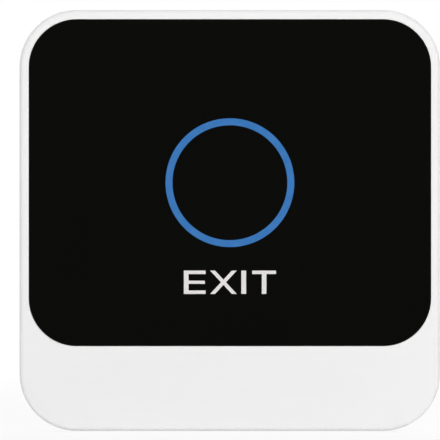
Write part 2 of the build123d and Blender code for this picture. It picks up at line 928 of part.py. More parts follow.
# Chip resistors and ceramic capacitors, in two rows above the chips
with BuildPart() as chip_resistors:
    block(
        passive_width,
        passive_length,
        board_rear_level - resistor_height,
        board_rear_level,
        places=[(x, resistor_z) for x in spread(resistor_count, passive_pitch)],
    )
chip_resistors.part.label = "chip_resistors"
export_step(chip_resistors.part, "parts/chip_resistors.step")

with BuildPart() as ceramic_capacitors:
    block(
        passive_width,
        passive_length,
        board_rear_level - ceramic_height,
        board_rear_level,
        places=[(x, resistor_z + passive_pitch) for x in spread(ceramic_count, passive_pitch)],
    )
ceramic_capacitors.part.label = "ceramic_capacitors"
export_step(ceramic_capacitors.part, "parts/ceramic_capacitors.step")
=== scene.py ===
"""Door exit button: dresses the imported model, letters its panel and sets up a plain studio.

Unless a class says otherwise, lengths are in metres, angles in radians, and the scales of noise
are waves to the metre. A range is the part of the noise over which an effect grows from nothing
to its share.
"""

import logging
import math
from abc import ABC, abstractmethod
from dataclasses import dataclass
from enum import Enum
from functools import cached_property
from typing import Any

import bpy
import numpy as np
from bpy.types import Material, NodeSocket, NodeTree, Object
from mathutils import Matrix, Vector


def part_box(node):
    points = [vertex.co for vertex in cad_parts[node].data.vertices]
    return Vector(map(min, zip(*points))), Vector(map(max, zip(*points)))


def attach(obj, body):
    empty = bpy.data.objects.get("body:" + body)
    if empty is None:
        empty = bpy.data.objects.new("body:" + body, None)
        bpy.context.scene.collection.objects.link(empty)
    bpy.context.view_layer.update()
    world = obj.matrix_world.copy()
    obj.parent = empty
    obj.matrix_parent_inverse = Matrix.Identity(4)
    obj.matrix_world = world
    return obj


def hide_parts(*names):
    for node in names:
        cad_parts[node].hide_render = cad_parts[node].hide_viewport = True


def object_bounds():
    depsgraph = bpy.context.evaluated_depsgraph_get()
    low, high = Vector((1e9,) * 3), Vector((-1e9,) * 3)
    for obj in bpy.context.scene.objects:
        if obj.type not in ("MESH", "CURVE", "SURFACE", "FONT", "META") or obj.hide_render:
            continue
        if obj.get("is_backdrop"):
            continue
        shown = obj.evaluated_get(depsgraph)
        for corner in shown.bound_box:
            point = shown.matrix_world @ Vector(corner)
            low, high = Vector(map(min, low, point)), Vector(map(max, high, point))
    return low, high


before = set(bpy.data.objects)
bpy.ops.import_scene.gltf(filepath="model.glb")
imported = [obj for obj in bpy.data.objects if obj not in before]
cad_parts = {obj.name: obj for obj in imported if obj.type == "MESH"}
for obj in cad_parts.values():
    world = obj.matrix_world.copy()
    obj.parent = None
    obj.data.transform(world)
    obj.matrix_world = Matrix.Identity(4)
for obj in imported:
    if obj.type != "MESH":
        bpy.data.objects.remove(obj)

Pair = tuple[float, float]
Color = tuple[float, float, float]
Vector3 = tuple[float, float, float]
Offsets = tuple[Pair, ...]
Shape = tuple[np.ndarray, list[list[int]]]  # points in metres, and faces as lists of point numbers
Sockets = dict[Any, Any]  # what goes into a node's sockets, by name or number

MM = 0.001  # one millimetre, in the scene's metres
BODY = "housing"
SQUARE = np.array([[-1.0, -1.0], [1.0, -1.0], [1.0, 1.0], [-1.0, 1.0]])
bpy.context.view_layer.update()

log = logging.getLogger("door_exit_button")


class Grain(Enum):
    """Surface textures of the moulds: grains to the metre and their depth in metres."""

    POLISHED = (900.0, 0.000001)
    SATIN = (2600.0, 0.000006)
    SPARKED = (1900.0, 0.000016)
    COARSE = (1100.0, 0.000022)

    @property
    def inputs(self) -> dict[str, float]:
        """The texture as inputs of the group for moulded plastic."""
        return dict(zip(("Grain", "Depth"), self.value))


class Along(Enum):
    """Directions of the object, by the letters of the axes."""

    DEPTH = "Y"
    HEIGHT = "Z"


class NodeGraph:
    """A node tree that is written as a list of steps, most of which return an output."""

    def __init__(self, tree: NodeTree) -> None:
        """Starts with an empty tree.

        Args:
            tree: The tree of a material, a world or a node group.
        """
        self.tree = tree
        self.tree.nodes.clear()

    @cached_property
    def place(self) -> Any:
        """The object's own coordinates."""
        return self.add("TexCoord").outputs["Object"]

    def feed(self, node: Any, inputs: Sockets) -> None:
        """Fills a node's sockets.

        Args:
            node: The node.
            inputs: Numbers, vectors, colours of three numbers or other nodes' outputs.
        """
        for name, value in inputs.items():
            socket = node.inputs[name]
            if isinstance(value, NodeSocket):
                self.tree.links.new(value, socket)
            else:
                socket.default_value = (*value, 1.0) if socket.type == "RGBA" else value

    def add(self, kind: str, inputs: Sockets | None = None, **settings: Any) -> Any:
        """Adds one node.

        Args:
            kind: The node's type after the word ShaderNode, such as "Bump".
            inputs: What goes into its sockets.
            **settings: The node's own properties.

        Returns:
            The new node.
        """
        node = self.tree.nodes.new("ShaderNode" + kind)
        for name, value in settings.items():
            setattr(node, name, value)
        self.feed(node, inputs or {})
        return node

    def math(self, operation: str, *values: Any) -> Any:
        """Works out a number from numbers or outputs, in the order of the node's sockets."""
        return self.add("Math", dict(enumerate(values)), operation=operation).outputs[0]

    def split(self, vector: Any) -> Any:
        """Takes a vector apart into outputs named X, Y and Z."""
        return self.add("SeparateXYZ", {0: vector}).outputs

    def length(self, vector: Any) -> Any:
        """Measures a vector."""
        return self.add("VectorMath", {0: vector}, operation="LENGTH").outputs["Value"]

    def angle(self, vector: Any) -> Any:
        """Works out a vector's angle about Y, from X towards Z."""
        parts = self.split(vector)
        return self.math("ARCTAN2", parts["Z"], parts["X"])

    def from_line(self, centre: Vector3) -> Any:
        """Works out the way to each place from a line along Y, square to the line.

        Args:
            centre: A point of the line.

        Returns:
            The output with the vector, whose Y is 0.
        """
        minus = tuple(-value for value in centre)
        offset = self.add("VectorMath", {0: self.place, 1: minus}, operation="ADD")
        level = {0: offset.outputs[0], 1: (1.0, 0.0, 1.0)}
        return self.add("VectorMath", level, operation="MULTIPLY").outputs[0]

    def facing(self) -> Any:
        """Works out the Y of the surface's normal: 1 towards the wall, -1 towards the room."""
        return self.split(self.add("NewGeometry").outputs["Normal"])["Y"]

    def noise(self, place: Any, scale: Any, detail: float = 2.0, **settings: Any) -> Any:
        """Draws noise from 0 to 1 at a scale of waves to the metre, with finer noise by the detail."""
        inputs = {"Vector": place, "Scale": scale, "Detail": detail}
        return self.add("TexNoise", inputs, **settings).outputs[0]

    def remap(self, value: Any, source: Pair, target: Pair) -> Any:
        """Carries a value smoothly from one range to another.

        Args:
            value: The output to carry over.
            source: The range that it comes from.
            target: The range that it goes to.

        Returns:
            The output socket.
        """
        names = ("From Min", "From Max", "To Min", "To Max")
        inputs = {"Value": value} | dict(zip(names, source + target))
        return self.add("MapRange", inputs, interpolation_type="SMOOTHSTEP").outputs[0]

    def mix(self, factor: Any, first: Any, second: Any) -> Any:
        """Mixes two numbers."""
        return self.add("Mix", {0: factor, 2: first, 3: second}).outputs[0]

    def blend(self, factor: Any, first: Any, second: Any, mode: str = "MIX") -> Any:
        """Mixes two colours."""
        inputs = {0: factor, 6: first, 7: second}
        return self.add("Mix", inputs, data_type="RGBA", blend_type=mode).outputs[2]

    def dim(self, color: Any, light: Any) -> Any:
        """Multiplies a colour by a number."""
        grey = self.add("CombineColor", {0: light, 1: light, 2: light})
        return self.blend(1.0, color, grey.outputs[0], "MULTIPLY")

    def relief(self, height: Any, depth: Any) -> Any:
        """Raises the surface, by the depth where the height is 1."""
        return self.add("Bump", {"Strength": 1.0, "Distance": depth, "Height": height}).outputs[0]

    def effect(self, group: NodeTree, **values: Any) -> Any:
        """Places a shared group with its own values, and returns all its outputs."""
        return self.add("Group", {"Position": self.place} | values, node_tree=group).outputs


class SharedEffects:
    """Node groups that several finishes use, each built once."""

    KINDS = {"Position": "Vector", "Normal": "Vector", "Color": "Color", "Dull": "Color"}
    LOOK = ("Color", "Roughness", "Normal")
    SLOW_DETAIL = 3.0
    FLOWS = 70.0
    PATCHES = 900.0
    PATCH_RANGE = (0.45, 0.75)
    PATCH_SHARE = 0.7
    PATCH_GLOSS = 0.15
    STREAKS = (400.0, 9000.0, 6000.0)
    STREAK_DETAIL = 4.0
    STREAK_GLOSS = 0.18
    STREAK_DEPTH = 0.000004

    def __init__(self) -> None:
        """Builds both groups."""
        self.moulded = self.build_moulded()
        self.plated = self.build_plated()

    def new_group(self, name: str, *takes: str) -> tuple[NodeGraph, Any, Any]:
        """Makes an empty group with its sockets, which are numbers unless KINDS says otherwise.

        Args:
            name: The group's name.
            *takes: Names of its inputs.

        Returns:
            The group's graph, what it is given, and the node that takes its results.
        """
        group = bpy.data.node_groups.new(name, "ShaderNodeTree")
        for direction, sockets in (("INPUT", takes), ("OUTPUT", self.LOOK)):
            for socket in sockets:
                kind = "NodeSocket" + self.KINDS.get(socket, "Float")
                group.interface.new_socket(name=socket, in_out=direction, socket_type=kind)
        graph = NodeGraph(group)
        return graph, group.nodes.new("NodeGroupInput").outputs, group.nodes.new("NodeGroupOutput")

    def build_moulded(self) -> NodeTree:
        """Builds the look of moulded plastic.

        Slow noise shifts the colour a little, as the melt's flow does. Fine noise is the mould's
        texture: it raises the surface and shifts the roughness.

        Returns:
            The node group.
        """
        takes = ("Position", "Color", "Tone", "Grain", "Depth", "Gloss", "Spread")
        graph, given, results = self.new_group("moulded_plastic", *takes)
        flows = graph.noise(given["Position"], self.FLOWS, self.SLOW_DETAIL)
        slow = graph.math("SUBTRACT", flows, 0.5)
        light = graph.math("ADD", graph.math("MULTIPLY", slow, given["Tone"]), 1.0)
        fine = graph.noise(given["Position"], given["Grain"])
        spread = graph.math("MULTIPLY", graph.math("SUBTRACT", fine, 0.5), given["Spread"])
        look = {
            "Color": graph.dim(given["Color"], light),
            "Roughness": graph.math("ADD", spread, given["Gloss"]),
            "Normal": graph.relief(fine, given["Depth"]),
        }
        graph.feed(results, look)
        return graph.tree

    def build_plated(self) -> NodeTree:
        """Builds the look of plated metal.

        Noise that is drawn out along one axis gives the streaks of rolling or turning, and slow
        noise dulls the plating in patches.

        Returns:
            The node group.
        """
        graph, given, results = self.new_group("plated_metal", "Position", "Color", "Dull", "Gloss")
        drawn = graph.add("Mapping", {"Vector": given["Position"], "Scale": self.STREAKS})
        streaks = graph.noise(drawn.outputs[0], 1.0, self.STREAK_DETAIL)
        patches = graph.noise(given["Position"], self.PATCHES, self.SLOW_DETAIL)
        dulled = graph.remap(patches, self.PATCH_RANGE, (0.0, self.PATCH_SHARE))
        rough = graph.math("MULTIPLY_ADD", streaks, self.STREAK_GLOSS, given["Gloss"])
        look = {
            "Color": graph.blend(dulled, given["Color"], given["Dull"]),
            "Roughness": graph.math("MULTIPLY_ADD", dulled, self.PATCH_GLOSS, rough),
            "Normal": graph.relief(streaks, self.STREAK_DEPTH),
        }
        graph.feed(results, look)
        return graph.tree


EFFECTS = SharedEffects()


@dataclass(frozen=True)
class Finish(ABC):
    """Look of a surface."""

    name: str

    @abstractmethod
    def paint(self, graph: NodeGraph) -> Sockets:
        """Draws the look.

        Args:
            graph: The material's graph.

        Returns:
            The shader's inputs.
        """

    def material(self) -> Material:
        """Makes the material, whose shader takes what is painted.

        Returns:
            The material.
        """
        material = bpy.data.materials.new(self.name)
        material.use_nodes = True
        graph = NodeGraph(material.node_tree)
        shader = graph.add("BsdfPrincipled")
        graph.add("OutputMaterial", {"Surface": shader.outputs[0]})
        graph.feed(shader, self.paint(graph))
        return material

    def put_on(self, *nodes: str) -> None:
        """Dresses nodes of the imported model.

        Args:
            *nodes: Names of the nodes.
        """
        material = self.material()
        for node in nodes:
            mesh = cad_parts[node].data
            mesh.materials.clear()
            mesh.materials.append(material)
            log.info("%s: dressed in %s", node, self.name)


@dataclass(frozen=True)
class MouldedPlastic(Finish):
    """Plastic that comes out of a mould with its texture."""

    color: Color
    grain: Grain
    gloss: float
    tone: float = 0.03
    spread: float = 0.12
    shine: float = 0.5

    def look(self, graph: NodeGraph) -> Any:
        """Places the moulded group, and returns its outputs Color, Roughness and Normal."""
        values = {"Color": self.color, "Tone": self.tone, "Gloss": self.gloss, "Spread": self.spread}
        return graph.effect(EFFECTS.moulded, **self.grain.inputs, **values)

    def paint(self, graph: NodeGraph) -> Sockets:
        """Takes colour, roughness and relief from the moulded group."""
        color, rough, normal = self.look(graph)
        return {"Base Color": color, "Roughness": rough, "Normal": normal, "Specular IOR Level": self.shine}


@dataclass(frozen=True)
class PlatedMetal(Finish):
    """Metal under zinc, nickel or tin."""

    color: Color
    dull: Color
    gloss: float

    def look(self, graph: NodeGraph) -> Any:
        """Places the plated group, and returns its outputs Color, Roughness and Normal."""
        return graph.effect(EFFECTS.plated, Color=self.color, Dull=self.dull, Gloss=self.gloss)

    def paint(self, graph: NodeGraph) -> Sockets:
        """Takes streaked and patchy metal from the plated group."""
        color, rough, normal = self.look(graph)
        return {"Base Color": color, "Roughness": rough, "Normal": normal, "Metallic": 1.0}


@dataclass(frozen=True)
class PolishedSheet(Finish):
    """Polished black sheet whose surface carries faint marks of wiping."""

    color: Color
    haze: Color
    gloss: float = 0.035
    marks: float = 0.02
    patches: float = 45.0
    patch_range: Pair = (0.35, 0.75)
    patch_share: float = 0.5
    wipes: Vector3 = (60.0, 60.0, 7000.0)
    wipe_range: Pair = (0.62, 0.7)
    slants: Pair = (0.5, -0.9)

    def paint(self, graph: NodeGraph) -> Sockets:
        """Draws near-black, a breath lighter in slow patches, with marks in its roughness.

        Noise stretched a hundredfold, once along each of two slanted lines, leaves only its thin
        crests as marks.

        Args:
            graph: The material's graph.

        Returns:
            The shader's inputs.
        """
        masks = []
        for slant in self.slants:
            turned = {"Vector": graph.place, "Rotation": (0.0, slant, 0.0), "Scale": self.wipes}
            crests = graph.noise(graph.add("Mapping", turned).outputs[0], 1.0)
            masks.append(graph.remap(crests, self.wipe_range, (0.0, 1.0)))
        patches = graph.noise(graph.place, self.patches)
        hazy = graph.remap(patches, self.patch_range, (0.0, self.patch_share))
        return {
            "Base Color": graph.blend(hazy, self.color, self.haze),
            "Roughness": graph.math("MULTIPLY_ADD", graph.math("MAXIMUM", *masks), self.marks, self.gloss),
        }


@dataclass(frozen=True)
class LitResin(Finish):
    """Tinted resin that the lamps behind it light evenly."""

    color: Color
    glow: Color
    strength: float
    lamps: int
    centre: Vector3
    unevenness: float = 0.06
    gloss: float = 0.2
    clouds: float = 500.0
    cloud_range: Pair = (0.3, 0.7)
    cloud_share: float = 0.06
    cloud_gloss: float = 0.1
    cloud_color: Color = (0.2, 0.42, 0.75)

    def paint(self, graph: NodeGraph) -> Sockets:
        """Draws resin whose glow rises and falls a little with the angle round the ring.

        The angle about the ring's middle, times the number of lamps, goes through a cosine, so
        the resin is brightest over each lamp.

        Args:
            graph: The material's graph.

        Returns:
            The shader's inputs.
        """
        angle = graph.angle(graph.from_line(self.centre))
        wave = graph.math("COSINE", graph.math("MULTIPLY", angle, float(self.lamps)))
        light = graph.math("MULTIPLY_ADD", wave, self.unevenness, 1.0 - self.unevenness)
        cloud = graph.noise(graph.place, self.clouds)
        clouded = graph.remap(cloud, self.cloud_range, (0.0, self.cloud_share))
        return {
            "Base Color": graph.blend(clouded, self.color, self.cloud_color),
            "Roughness": graph.math("MULTIPLY_ADD", cloud, self.cloud_gloss, self.gloss),
            "Emission Color": graph.dim(self.glow, light),
            "Emission Strength": self.strength,
        }


@dataclass(frozen=True)
class PrintedInk(Finish):
    """Screen-printed ink: flat, with a faint mottle."""

    color: Color
    pooled: Color
    gloss: float = 0.42
    pooled_gloss: float = 0.12
    mottle: float = 3000.0
    mottle_detail: float = 3.0
    mottle_range: Pair = (0.35, 0.7)

    def paint(self, graph: NodeGraph) -> Sockets:
        """Draws two tones of ink, mixed by fine noise.

        Args:
            graph: The material's graph.

        Returns:
            The shader's inputs.
        """
        mottle = graph.noise(graph.place, self.mottle, self.mottle_detail)
        pooling = graph.remap(mottle, self.mottle_range, (0.0, 1.0))
        return {
            "Base Color": graph.blend(pooling, self.color, self.pooled),
            "Roughness": graph.math("MULTIPLY_ADD", pooling, self.pooled_gloss, self.gloss),
        }


@dataclass(frozen=True)
class TinnedEnds(Finish):
    """Small part whose body stands between tinned ends, which are in millimetres."""

    body: MouldedPlastic
    node: str
    along: Along
    low_end: float
    high_end: float
    tin: PlatedMetal = PlatedMetal("tin", (0.5, 0.49, 0.46), (0.36, 0.35, 0.32), 0.3)

    def body_span(self) -> Pair:
        """Works out where the node's body lies between the ends at its lower and higher side.

        Returns:
            The body's middle and half its length, in metres.
        """
        index = "XYZ".index(self.along.value)
        low, high = (corner[index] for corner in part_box(self.node))
        low_end, high_end = self.low_end * MM, self.high_end * MM
        return (low + low_end + high - high_end) / 2, (high - high_end - low - low_end) / 2

    def paint(self, graph: NodeGraph) -> Sockets:
        """Draws tin where the distance from the body's middle is over half the body's length.

        Args:
            graph: The material's graph.

        Returns:
            The shader's inputs.
        """
        middle, half = self.body_span()
        body, tin = self.body.look(graph), self.tin.look(graph)
        offset = graph.math("SUBTRACT", graph.split(graph.place)[self.along.value], middle)
        ends = graph.math("GREATER_THAN", graph.math("ABSOLUTE", offset), half)
        return {
            "Base Color": graph.blend(ends, body["Color"], tin["Color"]),
            "Roughness": graph.mix(ends, body["Roughness"], tin["Roughness"]),
            "Normal": body["Normal"],
            "Metallic": ends,
        }


@dataclass(frozen=True)
class SleevedCan(Finish):
    """Shrunk sleeve over an aluminium can, with a pale stripe down the negative side."""

    sleeve: MouldedPlastic
    stripe: Color
    metal: Color
    centre: Vector3
    radius: float
    end: float
    rim: float = 0.0006
    score: float = 0.0004
    bare_gloss: float = 0.14
    stripe_angle: float = 0.5
    dash_angle: float = 0.22
    dash_pitch: float = 0.0024

    def paint(self, graph: NodeGraph) -> Sockets:
        """Draws the sleeve, its stripe and the bare end.

        The can is bare inside the sleeve's rolled rim, down to its score. The stripe is where the
        angle about the can's axis is small, and dashes at an even pitch stand in its middle.

        Args:
            graph: The material's graph.

        Returns:
            The shader's inputs.
        """
        away = graph.from_line(self.centre)
        inside = graph.math("LESS_THAN", graph.length(away), self.radius - self.rim)
        depth = graph.split(graph.place)["Y"]
        bare = graph.math("MULTIPLY", inside, graph.math("GREATER_THAN", depth, self.end - self.score))
        angle = graph.math("ABSOLUTE", graph.angle(away))
        stripe = graph.math("LESS_THAN", angle, self.stripe_angle)
        beat = graph.math("PINGPONG", depth, self.dash_pitch / 2)
        short = graph.math("LESS_THAN", beat, self.dash_pitch / 4)
        dash = graph.math("MULTIPLY", short, graph.math("LESS_THAN", angle, self.dash_angle))
        printed = graph.math("MULTIPLY", stripe, graph.math("SUBTRACT", 1.0, dash))
        color, roughness, normal = self.sleeve.look(graph)
        return {
            "Base Color": graph.blend(bare, graph.blend(printed, color, self.stripe), self.metal),
            "Roughness": graph.math("MULTIPLY_ADD", bare, self.bare_gloss, roughness),
            "Normal": normal,
            "Metallic": bare,
        }


@dataclass(frozen=True)
class LampResin(Finish):
    """White lamp case with a pool of yellow phosphor on its front."""

    case: Color
    phosphor: Color
    centre: Vector3
    radius: float
    pool: float = 0.00042
    soft_rim: float = 1.3
    front: float = -0.9
    case_gloss: float = 0.35
    pool_gloss: float = 0.15
    grain: float = 4000.0
    grain_gloss: float = 0.1

    def paint(self, graph: NodeGraph) -> Sockets:
        """Draws the pool where the distance from the lamps' circle is small.

        Args:
            graph: The material's graph.

        Returns:
            The shader's inputs.
        """
        away = graph.length(graph.from_line(self.centre))
        gap = graph.math("ABSOLUTE", graph.math("SUBTRACT", away, self.radius))
        near = graph.remap(gap, (self.pool, self.pool * self.soft_rim), (1.0, 0.0))
        pool = graph.math("MULTIPLY", near, graph.math("LESS_THAN", graph.facing(), self.front))
        cured = graph.math("MULTIPLY_ADD", pool, self.pool_gloss - self.case_gloss, self.case_gloss)
        grain = graph.noise(graph.place, self.grain, 1.0)
        return {
            "Base Color": graph.blend(pool, self.case, self.phosphor),
            "Roughness": graph.math("MULTIPLY_ADD", grain, self.grain_gloss, cured),
        }


@dataclass(frozen=True)
class LacqueredBoard(Finish):
    """Glass-fibre board under solder-resist lacquer, with copper tracks below it."""

    lacquer: Color
    track: Color
    fibre: Color
    via: Color = (0.3, 0.28, 0.22)
    # Near-black painted shade that stands for the inside of the drilled via holes.
    hole_shade: Color = (0.01, 0.01, 0.008)
    fine_track: Pair = (0.00085, 0.00026)
    broad_track: Pair = (0.0038, 0.0011)
    track_reach: float = 6.0
    row_step: float = 7.3
    copper_depth: float = 0.00003
    via_cells: float = 150.0
    via_radius: float = 0.00045
    drill_radius: float = 0.0002
    weave: float = 1500.0
    weave_range: Pair = (0.3, 0.7)
    weave_share: float = 0.05
    weave_gloss: float = 0.1
    gloss: float = 0.2
    sawn_gloss: float = 0.45

    def tracks(self, graph: NodeGraph, along: Any, across: Any, track: Pair) -> Any:
        """Draws straight tracks with gaps.

        The board is cut into rows of an even pitch, and a track runs along the middle of each. It
        stops where noise that changes along the row, and from row to row, is below its middle.

        Args:
            graph: The material's graph.
            along: The coordinate along the tracks.
            across: The coordinate across them.
            track: Distance from row to row and width of a track, in metres.

        Returns:
            The mask of the tracks.
        """
        pitch, width = track
        rows = graph.math("DIVIDE", across, pitch)
        row = graph.math("FLOOR", rows)
        off = graph.math("ABSOLUTE", graph.math("SUBTRACT", graph.math("SUBTRACT", rows, row), 0.5))
        line = graph.math("LESS_THAN", off, width / pitch / 2)
        step = graph.math("DIVIDE", along, self.track_reach * pitch)
        where = graph.add("CombineXYZ", {0: step, 1: graph.math("MULTIPLY", row, self.row_step)})
        noise = graph.noise(where.outputs[0], 1.0, 0.0, noise_dimensions="2D")
        return graph.math("MULTIPLY", line, graph.math("GREATER_THAN", noise, 0.5))

    def paint(self, graph: NodeGraph) -> Sockets:
        """Draws the board's faces and edges.

        Fine and broad tracks lighten the lacquer and raise it a little. They run level on the rear
        and upright on the front. Vias are tinned discs round their drilled holes, which are painted
        near-black as painted shade. On the sawn edges, which face neither the wall nor the room, the woven
        fibre shows.

        Args:
            graph: The material's graph.

        Returns:
            The shader's inputs.
        """
        x, _, z = graph.split(graph.place)
        facing = graph.facing()
        rear = graph.math("GREATER_THAN", facing, 0.0)
        along, across = graph.mix(rear, z, x), graph.mix(rear, x, z)
        fine = self.tracks(graph, along, across, self.fine_track)
        broad = self.tracks(graph, along, across, self.broad_track)
        copper = graph.math("MAXIMUM", fine, broad)
        flat = graph.add("CombineXYZ", {0: x, 1: z}).outputs[0]
        cells = {"Vector": flat, "Scale": self.via_cells}
        drilled = graph.add("TexVoronoi", cells, voronoi_dimensions="2D").outputs["Distance"]
        ring = graph.math("LESS_THAN", drilled, self.via_radius * self.via_cells)
        # Mask of the via holes, which get painted shade.
        hole_shade = graph.math("LESS_THAN", drilled, self.drill_radius * self.via_cells)
        weave = graph.noise(graph.place, self.weave)
        faces = graph.blend(copper, self.lacquer, self.track)
        woven = graph.remap(weave, self.weave_range, (0.0, self.weave_share))
        toned = graph.blend(woven, faces, self.fibre)
        # Painted shade: the via holes are coloured near-black over the tinned rings.
        plated = graph.blend(hole_shade, graph.blend(ring, toned, self.via), self.hole_shade)
        edge = graph.math("LESS_THAN", graph.math("ABSOLUTE", facing), 0.5)
        gloss = graph.math("MULTIPLY_ADD", weave, self.weave_gloss, self.gloss)
        return {
            "Base Color": graph.blend(edge, plated, self.fibre),
            "Roughness": graph.math("MULTIPLY_ADD", edge, self.sawn_gloss, gloss),
            "Normal": graph.relief(graph.math("MAXIMUM", copper, ring), self.copper_depth),
            "Metallic": graph.math("MULTIPLY", ring, graph.math("SUBTRACT", 1.0, edge)),
        }


def put_in_scene(name: str, data: Any, place: Vector3 = (0.0, 0.0, 0.0)) -> Object:
    """Makes an object of a mesh, a lamp or a camera and adds it to the scene.

    Args:
        name: The object's name.
        data: The mesh, lamp or camera.
        place: Where it stands, in metres.

    Returns:
        The object.
    """
    thing = bpy.data.objects.new(name, data)
    thing.location = place
    bpy.context.scene.collection.objects.link(thing)
    return thing


def new_mesh(name: str, shape: Shape, material: Material) -> Object:
    """Makes an object of a shape in one material.

    Args:
        name: The object's name.
        shape: Its points, and its faces, anticlockwise seen from outside.
        material: The material.

    Returns:
        The object.
    """
    points, faces = shape
    mesh = bpy.data.meshes.new(name)
    mesh.from_pydata(points.tolist(), [], faces)
    mesh.materials.append(material)
    log.info("%s: made of %d points and %d faces", name, len(points), len(faces))
    return put_in_scene(name, mesh)


def new_piece(name: str, shape: Shape, finish: Finish, rounded: bool = False) -> Object:
    """Makes a piece of the object that moves with the housing.

    Args:
        name: The piece's name.
        shape: Its points and faces.
        finish: Its finish.
        rounded: Whether its bands of quads look round.

    Returns:
        The object.
    """
    piece = new_mesh(name, shape, finish.material())
    piece.data.polygons.foreach_set("use_smooth", [rounded and len(face) == 4 for face in shape[1]])
    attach(piece, BODY)
    return piece


def skin(rings: np.ndarray) -> Shape:
    """Closes rings into a solid: a band of quads between neighbours, and a face on either end.

    Args:
        rings: Points of the rings, by ring and by corner, anticlockwise seen from the last ring.

    Returns:
        The solid's points and faces.
    """
    steps, count = len(rings) - 1, rings.shape[1]
    here = np.arange(count)
    there = np.roll(here, -1)
    base = (np.arange(steps) * count)[:, None]
    quads = np.stack([base + here, base + there, base + count + there, base + count + here], axis=-1)
    ends = [here[::-1].tolist(), (here + steps * count).tolist()]
    return rings.reshape(-1, 3), quads.reshape(-1, 4).tolist() + ends


def together(shapes: list[Shape]) -> Shape:
    """Joins shapes into one, whose faces count on from shape to shape.

    Args:
        shapes: The shapes.

    Returns:
        The joint shape.
    """
    faces, count = [], 0
    for shape_points, shape_faces in shapes:
        faces += [[index + count for index in corners] for corners in shape_faces]
        count += len(shape_points)
    return np.vstack([points for points, _ in shapes]), faces


def corners_of(count: int) -> np.ndarray:
    """Angles of a circle's corners, which are evenly spread from 0."""
    return np.linspace(0.0, 2.0 * np.pi, count, endpoint=False)


def prism(outline: np.ndarray, levels: Pair) -> Shape:
    """Carries an outline, anticlockwise seen from the front, out from the wall: Y is minus the level."""
    return skin(np.stack([np.insert(outline, 1, -level, axis=1) for level in levels]))


def tube(path: np.ndarray, radius: float, sides: int) -> Shape:
    """Carries a circle along a path that winds about the Y axis.

    At each point of the path, the circle lies in the plane across the path. One of its axes points
    away from the winding's middle line and the other is square to that and to the path.

    Args:
        path: Points of the path, one row each, relative to the winding's middle line.
        radius: Radius of the circle.
        sides: Corners of the circle.

    Returns:
        The points and faces.
    """
    along = np.gradient(path, axis=0)
    along /= np.linalg.norm(along, axis=1, keepdims=True)
    out = path * (1.0, 0.0, 1.0)
    out -= along * np.sum(out * along, axis=1, keepdims=True)
    out /= np.linalg.norm(out, axis=1, keepdims=True)
    across = np.cross(along, out)
    turn = corners_of(sides)[None, :, None]
    return skin(path[:, None] + radius * (np.cos(turn) * out[:, None] + np.sin(turn) * across[:, None]))


def middle_of(node: str) -> np.ndarray:
    """Middle of a node's box, in metres."""
    low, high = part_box(node)
    return (np.array(low) + np.array(high)) / 2


@dataclass
class PrintedWord:
    """The word EXIT in thin block letters, in millimetres from the middle of the plate."""

    top: float = -10.205
    height: float = 4.75
    arm: float = 0.705
    e_left: float = -9.37
    e_width: float = 4.42
    e_stem: float = 0.955
    e_short: float = 0.15
    e_middle: float = 0.645
    x_left: float = -4.025
    x_width: float = 5.42
    x_stroke: float = 1.0
    i_left: float = 2.32
    i_stem: float = 0.98
    t_left: float = 4.53
    t_width: float = 4.85
    t_stem: float = 0.935
    film: float = 0.03
    sunk: float = 0.005

    @property
    def foot(self) -> float:
        """Height of the letters' feet."""
        return self.top - self.height

    def letter_e(self) -> list[Pair]:
        """Works out the outline of E: a stem and three arms, the middle one shorter and thinner.

        Returns:
            Its corners, anticlockwise.
        """
        left, right = self.e_left, self.e_left + self.e_width
        stem = left + self.e_stem
        middle = (self.top + self.foot) / 2
        low, high = middle - self.e_middle / 2, middle + self.e_middle / 2
        return [
            (left, self.foot), (right, self.foot), (right, self.foot + self.arm),
            (stem, self.foot + self.arm), (stem, low), (right - self.e_short, low),
            (right - self.e_short, high), (stem, high), (stem, self.top - self.arm),
            (right, self.top - self.arm), (right, self.top), (left, self.top),
        ]

    def letter_x(self) -> list[Pair]:
        """Works out the outline of X: two slanted strokes, which meet in four notches.

        The edges of the strokes are straight from foot to top, so similar triangles give the
        notch: its height is to the letter's as half its width is to what a stroke moves aside.

        Returns:
            Its corners, anticlockwise.
        """
        left, right, stroke = self.x_left, self.x_left + self.x_width, self.x_stroke
        centre, middle = (left + right) / 2, (self.top + self.foot) / 2
        notch = self.height * (self.x_width / 2 - stroke) / (self.x_width - stroke)
        return [
            (left, self.foot), (left + stroke, self.foot), (centre, self.foot + notch),
            (right - stroke, self.foot), (right, self.foot), (centre + stroke / 2, middle),
            (right, self.top), (right - stroke, self.top), (centre, self.top - notch),
            (left + stroke, self.top), (left, self.top), (centre - stroke / 2, middle),
        ]

    def letter_i(self) -> list[Pair]:
        """Outline of I: a single stem."""
        right = self.i_left + self.i_stem
        return [(self.i_left, self.foot), (right, self.foot), (right, self.top), (self.i_left, self.top)]

    def letter_t(self) -> list[Pair]:
        """Works out the outline of T: a bar on a stem.

        Returns:
            Its corners, anticlockwise.
        """
        left, right = self.t_left, self.t_left + self.t_width
        centre, under = (left + right) / 2, self.top - self.arm
        low, high = centre - self.t_stem / 2, centre + self.t_stem / 2
        return [
            (low, self.foot), (high, self.foot), (high, under), (right, under),
            (right, self.top), (left, self.top), (left, under), (low, under),
        ]

    def build(self, face: float) -> None:
        """Prints the four letters on the panel.

        Args:
            face: Level of the panel's face, in metres.
        """
        ink = PrintedInk("off_white_ink", (0.77, 0.745, 0.73), (0.73, 0.705, 0.69))
        levels = (face - self.sunk * MM, face + self.film * MM)
        letters = (self.letter_e(), self.letter_x(), self.letter_i(), self.letter_t())
        shapes = [prism(np.array(outline) * MM, levels) for outline in letters]
        new_piece("printed_word", together(shapes), ink)


